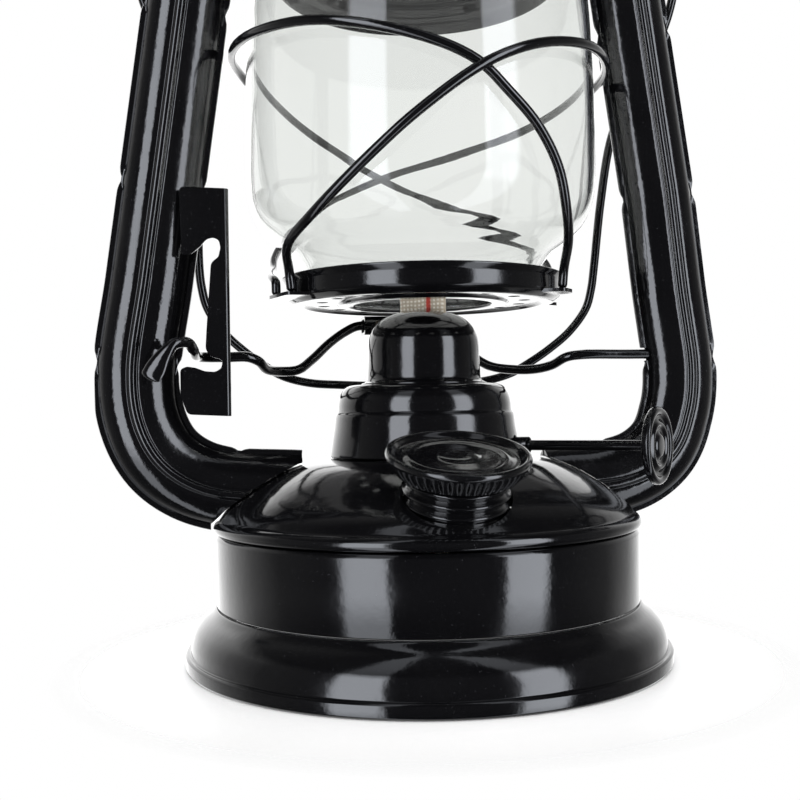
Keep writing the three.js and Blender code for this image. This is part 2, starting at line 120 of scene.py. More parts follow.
def enamel_material(name, peel=0.10, wave=0.16):
    """Glossy black stoved enamel: orange peel, slow waviness of the thin sheet, and a few dust specks."""
    mat, nodes, links, shader, coords = node_material(name)
    fine = noise(nodes, links, coords, 620, 2)
    slow = noise(nodes, links, coords, 75, 1)
    dust = noise(nodes, links, coords, 2600, 1)
    colour = tint(nodes, links, dust, [(0.0, (0.0028, 0.0028, 0.0034)), (0.72, (0.004, 0.004, 0.0048)),
                                       (0.8, (0.035, 0.036, 0.04))])
    links.new(colour, shader.inputs["Base Color"])
    links.new(spread(nodes, links, slow, 0.07, 0.17), shader.inputs["Roughness"])
    shader.inputs["IOR"].default_value = 1.5
    shader.inputs["Coat Weight"].default_value = 0.35
    shader.inputs["Coat Roughness"].default_value = 0.05
    lower = bump(nodes, links, slow, wave, 0.0009)
    links.new(bump(nodes, links, fine, peel, 0.00025, lower), shader.inputs["Normal"])
    return mat


def steel_material():
    mat, nodes, links, shader, coords = node_material("bare_steel")
    grain = noise(nodes, links, coords, 900, 3, (1, 1, 0.08))
    colour = tint(nodes, links, grain, [(0.3, (0.30, 0.30, 0.31)), (0.7, (0.56, 0.56, 0.57))])
    links.new(colour, shader.inputs["Base Color"])
    shader.inputs["Metallic"].default_value = 1.0
    links.new(spread(nodes, links, grain, 0.22, 0.42), shader.inputs["Roughness"])
    links.new(bump(nodes, links, grain, 0.1, 0.0001), shader.inputs["Normal"])
    return mat


def glass_material():
    """Blown soda-lime glass, faintly grey-green, with slow waves in its wall."""
    mat, nodes, links, shader, coords = node_material("globe_glass")
    wavy = noise(nodes, links, coords, 28, 1, (1, 1, 0.35))
    colour = tint(nodes, links, wavy, [(0.2, (0.955, 0.97, 0.96)), (0.8, (0.985, 0.99, 0.985))])
    links.new(colour, shader.inputs["Base Color"])
    shader.inputs["Transmission Weight"].default_value = 1.0
    shader.inputs["Roughness"].default_value = 0.0
    shader.inputs["IOR"].default_value = 1.5
    links.new(bump(nodes, links, wavy, 0.12, 0.0006), shader.inputs["Normal"])
    return mat


def cotton_material():
    """Woven cotton tape in cream, with a red tracer along it."""
    mat, nodes, links, shader, coords = node_material("wick_cotton")
    turned = nodes.new("ShaderNodeMapping")
    turned.inputs["Rotation"].default_value = (0, 0, -SPINDLE_ANGLE)
    links.new(coords.outputs["Object"], turned.inputs["Vector"])
    weft = nodes.new("ShaderNodeTexWave")
    weft.bands_direction = "Z"
    weft.inputs["Scale"].default_value = 330
    weft.inputs["Distortion"].default_value = 2.5
    warp = nodes.new("ShaderNodeTexWave")
    warp.bands_direction = "X"
    warp.inputs["Scale"].default_value = 300
    warp.inputs["Distortion"].default_value = 1.5
    for wave in (weft, warp):
        links.new(turned.outputs["Vector"], wave.inputs["Vector"])
    cells = nodes.new("ShaderNodeMath")
    cells.operation = "MULTIPLY"
    links.new(weft.outputs["Fac"], cells.inputs[0])
    links.new(warp.outputs["Fac"], cells.inputs[1])
    cream = tint(nodes, links, cells.outputs[0], [(0.0, (0.55, 0.47, 0.36)), (0.7, (0.90, 0.86, 0.78))])
    parts = nodes.new("ShaderNodeSeparateXYZ")
    links.new(turned.outputs["Vector"], parts.inputs[0])
    stripe = tint(nodes, links, spread(nodes, links, parts.outputs["X"], 0, 1, -0.0064, 0.0064),
                  [(0.0, (0, 0, 0)), (0.60, (0, 0, 0)), (0.63, (1, 1, 1)), (0.70, (1, 1, 1)), (0.73, (0, 0, 0))])
    mix = nodes.new("ShaderNodeMix")
    mix.data_type = "RGBA"
    mix.inputs["B"].default_value = (0.55, 0.06, 0.04, 1)
    links.new(stripe, mix.inputs["Factor"])
    links.new(cream, mix.inputs["A"])
    links.new(mix.outputs["Result"], shader.inputs["Base Color"])
    shader.inputs["Roughness"].default_value = 0.95
    shader.inputs["Sheen Weight"].default_value = 0.4
    links.new(bump(nodes, links, cells.outputs[0], 0.6, 0.0004), shader.inputs["Normal"])
    return mat


def rubber_material():
    mat, nodes, links, shader, coords = node_material("gasket_rubber")
    grain = noise(nodes, links, coords, 1200, 2)
    links.new(tint(nodes, links, grain, [(0.3, (0.012, 0.012, 0.012)), (0.7, (0.03, 0.03, 0.03))]),
              shader.inputs["Base Color"])
    links.new(spread(nodes, links, grain, 0.65, 0.85), shader.inputs["Roughness"])
    return mat


ENAMEL = enamel_material("black_enamel")
ENAMEL_TUBE = enamel_material("black_enamel_tube", peel=0.22, wave=0.3)
ENAMEL_WIRE = enamel_material("black_enamel_wire", peel=0.12, wave=0.25)
STEEL = steel_material()
GLASS = glass_material()
COTTON = cotton_material()
RUBBER = rubber_material()


# ---- mesh helpers ----
def clamped(value):
    return max(0.0, min(1.0, value))


def piece(name, verts, faces, material, body, slot, nodes, sharp=38):
    """A smooth-shaded mesh piece from points in millimetres; edges steeper than sharp degrees stay crisp."""
    mesh = bpy.data.meshes.new(name)
    mesh.from_pydata([tuple(c * MM for c in v) for v in verts], [], faces)
    obj = bpy.data.objects.new(name, mesh)
    bpy.context.scene.collection.objects.link(obj)
    mesh.materials.append(material)
    tidy(mesh, sharp)
    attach(obj, body)
    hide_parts(*nodes)
    return obj


def tidy(mesh, sharp):
    bm = bmesh.new()
    bm.from_mesh(mesh)
    bmesh.ops.remove_doubles(bm, verts=bm.verts, dist=2e-7)
    bmesh.ops.dissolve_degenerate(bm, edges=bm.edges, dist=1e-7)
    bmesh.ops.recalc_face_normals(bm, faces=bm.faces)
    if bm.calc_volume(signed=True) < 0:
        bmesh.ops.reverse_faces(bm, faces=bm.faces)
    limit = math.radians(sharp)
    for face in bm.faces:
        face.smooth = True
    for edge in bm.edges:
        edge.smooth = not (len(edge.link_faces) == 2 and edge.calc_face_angle(0) > limit)
    bm.to_mesh(mesh)
    bm.free()


def boolean(obj, cutters, operation="DIFFERENCE", sharp=38):
    """Cuts or joins meshes with obj for good, then removes them."""
    for cutter in cutters:
        mod = obj.modifiers.new("cut", "BOOLEAN")
        mod.operation = operation
        mod.solver = "EXACT"
        mod.object = cutter
    result = bpy.data.meshes.new_from_object(obj.evaluated_get(bpy.context.evaluated_depsgraph_get()))
    obj.modifiers.clear()
    old = obj.data
    obj.data = result
    bpy.data.meshes.remove(old)
    for cutter in cutters:
        bpy.data.objects.remove(cutter)
    tidy(obj.data, sharp)
    return obj


def raw(verts, faces):
    """A plain helper solid for boolean work."""
    mesh = bpy.data.meshes.new("helper")
    mesh.from_pydata([tuple(c * MM for c in v) for v in verts], [], faces)
    obj = bpy.data.objects.new("helper", mesh)
    bpy.context.scene.collection.objects.link(obj)
    tidy(mesh, 30)
    return obj


def smooth(points, per_span=6):
    """Centripetal Catmull-Rom through the points of an open line."""
    pts = [Vector(p) for p in points]
    count = len(pts)
    out = []
    for i in range(count - 1):
        p1, p2 = pts[i], pts[i + 1]
        p0 = pts[i - 1] if i > 0 else p1 * 2 - p2
        p3 = pts[i + 2] if i + 2 < count else p2 * 2 - p1
        d1, d2, d3 = ((b - a).length ** 0.5 or 1e-4 for a, b in ((p0, p1), (p1, p2), (p2, p3)))
        m1 = (p1 - p0) / d1 - (p2 - p0) / (d1 + d2) + (p2 - p1) / d2
        m2 = (p2 - p1) / d2 - (p3 - p1) / (d2 + d3) + (p3 - p2) / d3
        m1, m2 = m1 * d2, m2 * d2
        for k in range(per_span):
            t = k / per_span
            out.append((2 * t ** 3 - 3 * t ** 2 + 1) * p1 + (t ** 3 - 2 * t ** 2 + t) * m1
                       + (-2 * t ** 3 + 3 * t ** 2) * p2 + (t ** 3 - t ** 2) * m2)
    out.append(pts[-1].copy())
    return out


def rounded(points, radius, steps=4, closed=True):
    """The 2-D outline with its corners rounded. radius is one number, or one per point."""
    pts = [Vector(p) for p in points]
    count = len(pts)
    out = []
    for i, p in enumerate(pts):
        r = radius[i] if isinstance(radius, (list, tuple)) else radius
        if r <= 0 or (not closed and i in (0, count - 1)):
            out.append(p)
            continue
        a, b = pts[i - 1] - p, pts[(i + 1) % count] - p
        la, lb = a.length, b.length
        a, b = a / la, b / lb
        turn = math.pi - a.angle(b)
        if turn < 0.12:
            out.append(p)
            continue
        back = min(r * math.tan(turn / 2), la * 0.45, lb * 0.45)
        start, end = p + a * back, p + b * back
        for k in range(steps + 1):
            t = k / steps
            out.append((1 - t) ** 2 * start + 2 * t * (1 - t) * p + t ** 2 * end)
    return out


def sheet_profile(path, thick=SHEET):
    """A closed profile from an open [r, z] path along a sheet's face; thick goes to the left of travel."""
    pts = [Vector(p) for p in path]
    other = []
    for i, p in enumerate(pts):
        before = (p - pts[i - 1]).normalized() if i else None
        after = (pts[i + 1] - p).normalized() if i + 1 < len(pts) else None
        a = before or after
        b = after or before
        along = (a + b).normalized()
        side = Vector((-along.y, along.x))
        other.append(p + side * thick / max(0.5, along.dot(b)))

    def cap(p, q):
        if p.x < 1e-6 or q.x < 1e-6:
            return []
        centre, half = (p + q) / 2, (p - q) / 2
        out = Vector((-half.y, half.x))
        return [centre + half * math.cos(k * math.pi / 5) + out * math.sin(k * math.pi / 5) for k in range(1, 5)]
    for i in (0, -1):
        if pts[i].x < 1e-6:
            other[i].x = 0
    return [*pts, *cap(pts[-1], other[-1]), *reversed(other), *cap(other[0], pts[0])]


def spun(profile, segs=96, warp=None):
    """(points, faces) of a closed [r, z] profile turned about Z. warp(r, z, angle) may move a point."""
    pts = [(max(0.0, p[0]), p[1]) for p in profile]
    count = len(pts)
    verts, faces = [], []
    for j in range(segs):
        angle = j / segs * 2 * math.pi
        for r, z in pts:
            if warp and r > 0:
                r, z = warp(r, z, angle)
            verts.append(Vector((r * math.cos(angle), r * math.sin(angle), z)))
    for j in range(segs):
        k = (j + 1) % segs
        for i in range(count):
            n = (i + 1) % count
            if pts[i][0] < 1e-6 and pts[n][0] < 1e-6:
                continue
            if pts[i][0] < 1e-6:
                faces.append((j * count + i, k * count + n, j * count + n))
            elif pts[n][0] < 1e-6:
                faces.append((j * count + i, k * count + i, j * count + n))
            else:
                faces.append((j * count + i, k * count + i, k * count + n, j * count + n))
    return verts, faces


def swept(path, section, across=None, ends=True):
    """(points, faces) of a closed section carried along a path. section(i, t) gives [a, b] pairs, where a lies
    along the frame's first axis. across fixes that axis for a path that stays in one plane."""
    count = len(path)
    tangents = []
    for i in range(count):
        tangents.append((path[min(i + 1, count - 1)] - path[max(i - 1, 0)]).normalized())
    first = across.copy() if across else tangents[0].orthogonal().normalized()
    verts, faces, size = [], [], 0
    for i in range(count):
        t = tangents[i]
        if not across:
            first = (first - t * first.dot(t)).normalized()
        second = t.cross(first).normalized()
        ring = section(i, i / (count - 1))
        size = len(ring)
        verts += [path[i] + first * a + second * b for a, b in ring]
    for i in range(count - 1):
        for k in range(size):
            n = (k + 1) % size
            faces.append((i * size + k, i * size + n, (i + 1) * size + n, (i + 1) * size + k))
    if ends:
        faces.append(tuple(range(size)))
        faces.append(tuple(reversed(range((count - 1) * size, count * size))))
    return verts, faces


def wire(points, radius, sides=12, flat=None):
    """(points, faces) of a round wire with rounded ends. flat(t) may squash it: (width, thickness) factors."""
    path = smooth(points)
    start, end = (path[0] - path[1]).normalized(), (path[-1] - path[-2]).normalized()
    angles = [math.radians(a) for a in (75, 50, 25)]
    heads = [(path[0] + start * radius * math.sin(a) * 0.8, math.cos(a)) for a in angles]
    tails = [(path[-1] + end * radius * math.sin(a) * 0.8, math.cos(a)) for a in reversed(angles)]
    line = [h[0] for h in heads] + path + [t[0] for t in tails]
    scale = [h[1] for h in heads] + [1.0] * len(path) + [t[1] for t in tails]
    circle = [(math.cos(k / sides * 2 * math.pi), math.sin(k / sides * 2 * math.pi)) for k in range(sides)]

    def section(i, t):
        w, h = flat(t) if flat else (1.0, 1.0)
        return [(a * radius * scale[i] * w, b * radius * scale[i] * h) for a, b in circle]
    return swept(line, section)


def disc_bar(start, end, radius, sides=32):
    a, b = Vector(start), Vector(end)
    circle = [(radius * math.cos(k / sides * 2 * math.pi), radius * math.sin(k / sides * 2 * math.pi))
              for k in range(sides)]
    return swept([a, b], lambda i, t: circle)


def moved(part, matrix):
    return [matrix @ v for v in part[0]], part[1]


# ---- tank ----
def tank():
    skirt = [(55.9, 0.45), (57.2, 0.45), (57.75, 1.0), (57.75, 3.3), (57.35, 3.75), (56.55, 3.8), (56.5, 4.5)]
    rise = smooth([(56.5, 4.5), (56.2, 6.6), (55.3, 8.9), (53.6, 11), (51.7, 12.7), (50.75, 13.85)], 5)
    path = rounded(skirt, 0.35, 3, closed=False) + rise[1:]
    profile = sheet_profile(path, 0.8)
    floor_z = min(p[1] for p in profile)
    profile = [(p[0], p[1] - floor_z) for p in profile]
    piece("foot_skirt_pressed", *spun(profile, 144), ENAMEL, "frame", "enamel", ["foot_skirt"])

    def seamed(r, z, angle):
        lap = math.exp(-((angle - math.radians(96)) * 50 / 1.6) ** 2)
        return r + (0.25 * lap if r > 50 else 0), z
    wall = sheet_profile(rounded([(50.45, 14.15), (50.45, 29.6), (50.1, 30.4)], 0.6, 3, closed=False), 0.8)
    piece("tank_wall_seamed", *spun(wall, 192, seamed), ENAMEL, "frame", "enamel", ["tank_wall"])

    path = [(49.75, 30.9), (50.6, 31.1), (51.05, 31.9), (50.95, 32.9), (50.2, 33.7), (49.7, 33.95)]
    path = smooth(path, 4) + smooth([(49.3, 34.5), (48, 36.1), (45.8, 38), (43, 39.9), (38, 43), (31, 46.2),
                                      (25, 47.4), (22, 47.6), (15.6, 47.6)], 5)
    dome = piece("tank_dome_spun", *spun(sheet_profile(path, 0.8), 144), ENAMEL, "frame", "enamel", ["tank_dome"])
    axis = Vector((0, -math.sin(FILLER_TILT), math.cos(FILLER_TILT)))
    boolean(dome, [raw(*disc_bar(FILLER_TOP - axis * 24, FILLER_TOP - axis * 2, 11.7, 64))])
    bottom = [(0, 15.45), (30, 15.45), (46.2, 15.45), (47.9, 14.5), (49.3, 14.5), (49.3, 16.7)]
    bottom = [(0, 15.45)] + rounded(bottom[1:], 0.6, 3, closed=False)
    piece("tank_bottom_disc", *spun(sheet_profile(bottom, 0.8), 96), ENAMEL, "frame", "enamel", ["tank_bottom"])


def filler():
    place = Matrix.Translation(FILLER_TOP) @ Matrix.Rotation(FILLER_TILT, 4, "X")
    outer = [(11.6, -15.9), (10.9, -15.2)]
    for ridge in range(4):
        z = -13.2 + ridge * 2.3
        outer += smooth([(10.35, z - 0.5), (10.7, z + 0.1), (11.25, z + 0.65), (11.25, z + 0.95), (10.7, z + 1.4)], 3)
    outer += [(10.4, -3.4), (10.4, -2.4), (10.1, -2.15)]
    profile = outer + [(9.3, -2.15), (9.05, -2.4), (9.05, -15.9)]
    neck = spun(profile, 72)
    piece("filler_neck_ridged", *moved(neck, place), ENAMEL, "frame", "enamel", ["filler_neck"], sharp=50)
    ring = rounded([(8.85, -1.9), (10.85, -1.9), (10.85, -1.02), (8.85, -1.02)], 0.3, 3)
    piece("cap_gasket_ring", *moved(spun(ring, 72), place), RUBBER, "gasket", "rubber", ["cap_gasket"])

    grips = 44

    def knurl(r, z, angle):
        if -4.45 < z < -0.75 and r > 12:
            share = math.sin((z + 4.45) / 3.7 * math.pi) ** 0.5
            r += (abs(math.cos(angle * grips / 2)) ** 0.7 - 0.75) * 0.75 * share
        return r, z
    outside = rounded([(11.7, -4.4), (12.5, -4.4)], 0.2, 2, closed=False)
    side = [(12.5 + 0.3 * i, -4.4 + 0.45 * i) for i in range(1, 8)]
    top = smooth([(14.75, -0.95), (15.1, -0.55), (15.15, 0.0), (14.85, 0.5), (14.3, 0.62), (13.8, 0.35),
                  (13.2, -0.35), (12.4, -0.75), (11.4, -0.62)], 3)
    face = smooth([(11.0, -0.5), (10.2, -0.28), (9.4, -0.42), (8.8, -0.55), (6, -0.5), (4.6, -0.42), (4.1, -0.2),
                   (3.4, -0.05), (1.5, 0.0)], 3) + [(0, 0.0)]
    under = [(0, -0.7), (11.3, -1.15), (11.6, -1.5), (11.6, -4.3)]
    profile = outside + side + top + face + under
    piece("filler_cap_knurled", *moved(spun(profile, grips * 6, knurl), place), ENAMEL, "cap", "enamel",
          ["filler_cap"], sharp=45)


# ---- burner ----
HEADING = Vector((math.cos(SPINDLE_ANGLE), math.sin(SPINDLE_ANGLE), 0))
SIDEWAYS = Vector((-math.sin(SPINDLE_ANGLE), math.cos(SPINDLE_ANGLE), 0))


def on_spindle(along):
    return SIDEWAYS * SPINDLE_OFFSET + HEADING * along + Vector((0, 0, SPINDLE_Z))


def spindle_place(along):
    turn = HEADING.to_track_quat("Z", "Y").to_matrix().to_4x4()
    return Matrix.Translation(on_spindle(along)) @ turn


def wick_bar(half_width, half_thick, z0, z1):
    corners = [(-half_width, -half_thick), (half_width, -half_thick), (half_width, half_thick),
               (-half_width, half_thick)]
    flat = rounded(corners, min(half_thick * 0.8, 1.0), 3)
    ring = [(HEADING * p.x + SIDEWAYS * p.y) for p in flat]
    verts = [v + Vector((0, 0, z)) for z in (z0, z1) for v in ring]
    n = len(ring)
    faces = [(k, (k + 1) % n, n + (k + 1) % n, n + k) for k in range(n)]
    faces += [tuple(reversed(range(n))), tuple(range(n, 2 * n))]
    return verts, faces


def burner():
    path = [(23.1, 48.2), (22.9, 49.4), (22.5, 52), (22.0, 55), (21.75, 57.2)]
    path = smooth(path, 3) + smooth([(21.6, 57.9), (21.2, 58.5), (21.05, 59.1), (21.0, 60.2), (20.7, 61.8),
                                     (20.1, 63.2), (19.2, 64.3), (17.9, 64.9), (15.5, 64.98), (12.6, 64.98)], 4)
    base = piece("burner_base_pressed", *spun(sheet_profile(path, 0.7), 128), ENAMEL, "frame", "enamel",
                 ["burner_base"])
    boolean(base, [raw(*disc_bar(on_spindle(10), on_spindle(34), 2.4))])
    deck = piece("burner_deck_plate", *spun(rounded([(0.0, 54.7), (19.6, 54.7), (19.6, 55.4), (0.0, 55.4)],
                                                    [0, 0.2, 0.2, 0]), 64), STEEL, "frame", "steel", ["burner_deck"])
    holes = [raw(*wick_bar(7.5, 2.1, 50, 60))]
    for i in range(8):
        angle = (i + 0.5) / 8 * 2 * math.pi
        x, y = 14.5 * math.cos(angle), 14.5 * math.sin(angle)
        holes.append(raw(*disc_bar((x, y, 53), (x, y, 57), 1.7, 20)))
    boolean(deck, holes)
    path = smooth([(15.0, 65.45), (14.3, 65.7), (13.85, 66.4), (13.65, 68.5), (13.5, 71.5), (13.5, 74.2),
                   (13.2, 76.4), (12.2, 78.6), (10.4, 80.5), (8.0, 81.8), (5.0, 82.6), (2, 82.85)], 5)
    path += [Vector((0, 82.88))]
    cone = piece("burner_cone_dome", *spun(sheet_profile(path, 0.7), 96), ENAMEL, "frame", "enamel", ["burner_cone"])
    boolean(cone, [raw(*wick_bar(7.9, 2.7, 77, 90))])
    sleeve = piece("wick_sleeve", *wick_bar(7.1, 1.75, 38.1, 78.9), STEEL, "frame", "steel", ["wick_tube"])
    slots = [raw(*wick_bar(6.7, 1.3, 30, 90))]
    for side in (-3.4, 3.4):
        low, high = on_spindle(side - 0.8), on_spindle(side + 0.8)
        slots.append(raw(*disc_bar(low - SIDEWAYS * 2.2, high - SIDEWAYS * 2.2, 2.7, 24)))
    boolean(sleeve, slots)
    wick()
    spindle_parts()


def wick():
    """A flat woven tape: its faces bulge with the weave, and its top edge is cut a little ragged."""
    across, up = 40, 150
    z0, z1, w, t = 24.2, 86.3, 6.25, 0.9
    verts, faces = [], []
    outline = []
    for k in range(across):
        outline.append((-w + 2 * w * k / (across - 1), -t))
    for k in range(across):
        outline.append((w - 2 * w * k / (across - 1), t))
    count = len(outline)
    for i in range(up + 1):
        z = z0 + (z1 - z0) * i / up
        for k, (x, y) in enumerate(outline):
            edge = min(1.0, (w - abs(x)) / 1.1)
            weave = 0.09 * math.sin(x * 6.6 + (i % 2) * math.pi) * math.sin(z * 5.1)
            thick = (0.35 + 0.65 * math.sqrt(max(0.0, edge))) + weave
            ragged = 0.22 * math.sin(x * 5.3) + 0.14 * math.sin(x * 11.7 + 1) if i == up else 0
            p = HEADING * x + SIDEWAYS * (y * thick) + Vector((0, 0, min(86.45, z + ragged)))
            verts.append(p)
    for i in range(up):
        for k in range(count):
            n = (k + 1) % count
            faces.append((i * count + k, i * count + n, (i + 1) * count + n, (i + 1) * count + k))
    for base in (0, up * count):
        for k in range(across - 1):
            quad = (base + k, base + k + 1, base + count - 2 - k, base + count - 1 - k)
            faces.append(quad if base else tuple(reversed(quad)))
    piece("wick_tape", verts, faces, COTTON, "wick", "cotton", ["wick"], sharp=70)


def spindle_parts():
    rod = smooth([on_spindle(-6.4), on_spindle(20), on_spindle(KNOB_REACH - 3.7)], 2)
    circle = [(1.2 * math.cos(k / 24 * 2 * math.pi), 1.2 * math.sin(k / 24 * 2 * math.pi)) for k in range(24)]
    piece("wick_spindle_rod", *swept(rod, lambda i, t: circle), ENAMEL_WIRE, "knob", "steel", ["wick_spindle"])
    for index, side in ((1, -3.4), (2, 3.4)):
        verts, faces = [], []
        teeth, n = 12, 48
        for z in (-0.45, 0.45):
            for radius in (1, 0):
                for k in range(n):
                    angle = k / n * 2 * math.pi
                    r = 2.65 + 0.42 * math.cos(angle * teeth) if radius else 1.35
                    verts.append(Vector((r * math.cos(angle), r * math.sin(angle), z)))
        for k in range(n):
            m = (k + 1) % n
            faces += [(k, m, n + m, n + k), (2 * n + k, 3 * n + k, 3 * n + m, 2 * n + m),
                      (k, 2 * n + k, 2 * n + m, m), (n + k, n + m, 3 * n + m, 3 * n + k)]
        wheel = moved((verts, faces), spindle_place(side))
        piece(f"wick_wheel_{index}_toothed", *wheel, STEEL, "knob", "steel", [f"wick_wheel_{index}"], sharp=30)
    bush = rounded([(1.5, -3), (1.98, -3), (1.98, 2.55), (1.5, 2.55)], 0.15, 2)
    piece("spindle_bush_tube", *moved(spun(bush, 48), spindle_place(23)), ENAMEL, "frame", "steel", ["spindle_bush"])

    def knurl(r, z, angle):
        if r > 8.1:
            r += 0.1 * (abs(math.cos(angle * 24)) - 1)
        return r, z
    profile = [(0, -3.25), (2.3, -3.25), (2.45, -2.45), (2.9, -2.2), (7.6, -2.1), (8.3, -1.9), (8.55, -1.5),
               (8.55, -0.6), (8.3, -0.2)]
    face = smooth([(8.1, -0.08), (7.6, -0.02), (7.0, -0.25), (6.6, -0.75), (5.9, -0.85), (5.3, -0.45), (4.9, -0.15),
                   (4.4, -0.2), (3.9, -0.6), (3.3, -0.75), (2.7, -0.5), (2.2, -0.15), (1.4, -0.03)], 3)
    knob = spun(rounded(profile, 0.2, 2, closed=False) + face + [(0, -0.02)], 96, knurl)
    piece("wick_knob_ringed", *moved(knob, spindle_place(KNOB_REACH)), ENAMEL, "knob", "enamel", ["wick_knob"],
          sharp=50)


# ---- side tubes ----
def tube_centre(z):
    return 65.35 - 0.1435 * (z - 85)


def side_tube(side):
    """One side tube's outer skin and its centre line. The right tube leans in a little low down."""
    rise = [(tube_centre(z), z) for z in (165, 140, 115, 90, 68)]
    route = [(30.4, 197), (36.5, 196.2), (43.8, 192.6), (49.2, 186), (52, 177.5), *rise, (66.6, 57.2), (62.8, 49.3),
             (57, 44.3), (49, 41.3), (30.6, 39.9)]
    path = []
    points = smooth([Vector((x, 0, z)) for x, z in route], 16)
    length = 0
    marks = [0.0]
    for a, b in zip(points, points[1:]):
        length += (b - a).length
        marks.append(length)
    count = 190
    for i in range(count + 1):
        want = length * i / count
        k = max(j for j, m in enumerate(marks) if m <= want + 1e-9)
        k = min(k, len(points) - 2)
        share = (want - marks[k]) / (marks[k + 1] - marks[k])
        p = points[k].lerp(points[k + 1], share)
        lean = 1.2 * clamped((112 - p.z) / 35) * clamped((p.z - 42) / 14) if side > 0 else 0
        path.append(Vector((side * p.x - lean, 0, p.z)))

    def depth(u):
        """Depth of the pressed half from the seam plane at u, millimetres across the tube from its centre line."""
        body = 5.15 * max(0.0, 1 - abs(u / TUBE_BODY_HALF) ** 2.3) ** 0.6
        rib = 0.55 / (1 + math.exp((abs(u - RIB_AT) - RIB_HALF) * 10))
        groove = 0.22 * math.exp(-((abs(u - RIB_AT) - 1.3) / 0.3) ** 2)
        return max(0.6, body + rib - groove)

    crimps = [k * CRIMP_PITCH + 14 for k in range(8)]
    spots = [-8.7, -8.5, -8.1, -7.4, -6.5, -5.5, -4.4, -3.2, -2.2, -1.4, -0.9, -0.6, -0.3, -0.1, 0.1, 0.3, 0.55, 1.0,
             1.45, 1.7, 1.9, 2.1, 2.3, 2.6, 2.9, 3.4, 4.2, 5.2, 6.2, 7.2, 8.0, 8.45, 8.7]

    def section(i, t):
        along = t * length
        crimp = max(math.exp(-((along - c) / 1.5) ** 2) for c in crimps)
        tip = min(TUBE_TIP, TUBE_REACH - abs(path[i].x)) - 0.75 * crimp
        flange = 0.62 - 0.32 * crimp
        front = [(tip, -0.2), (tip - 0.15, -flange), (9.05, -flange)]
        front += [(u, -depth(u)) for u in reversed(spots)]
        front += [(-9.05, -flange), (-tip + 0.15, -flange), (-tip, -0.2)]
        back = [(u, -d) for u, d in reversed(front)]
        return [(d, u * side) for u, d in front + back]
    verts, faces = swept(path, section, across=Vector((0, 1, 0)), ends=False)
    return (verts, faces), path


def side_tubes():
    envelope_profile = [(0, 27), (51.5, 27), (51.5, 33.2), (50.3, 34.4), (48.4, 36.5), (43.4, 40.3), (38.2, 43.5),
                        (31.2, 46.7), (25, 47.9), (0, 48)]
    for name, side in (("left", -1), ("right", 1)):
        (verts, faces), path = side_tube(side)
        size = len(verts) // len(path)
        inner = []
        for i, p in enumerate(path):
            ring = verts[i * size:(i + 1) * size]
            inner += [p + (v - p) * 0.86 for v in ring]
        start = len(verts)
        count = len(path)
        solid = verts + inner
        all_faces = list(faces)
        all_faces += [tuple(start + k for k in reversed(f)) for f in faces]
        for base, flip in ((0, False), ((count - 1) * size, True)):
            for k in range(size):
                n = (k + 1) % size
                quad = (base + k, start + base + k, start + base + n, base + n)
                all_faces.append(tuple(reversed(quad)) if flip else quad)
        tube = piece(f"side_tube_{name}", solid, all_faces, ENAMEL_TUBE, "frame", "enamel", [f"tube_{name}"],
                     sharp=50)
        cutters = [raw(*spun(envelope_profile, 96))]
        if side > 0:
            cutters.append(raw(*disc_bar((50, 0, CRANK_Z), (63, 0, CRANK_Z), 1.7)))
        boolean(tube, cutters, sharp=50)


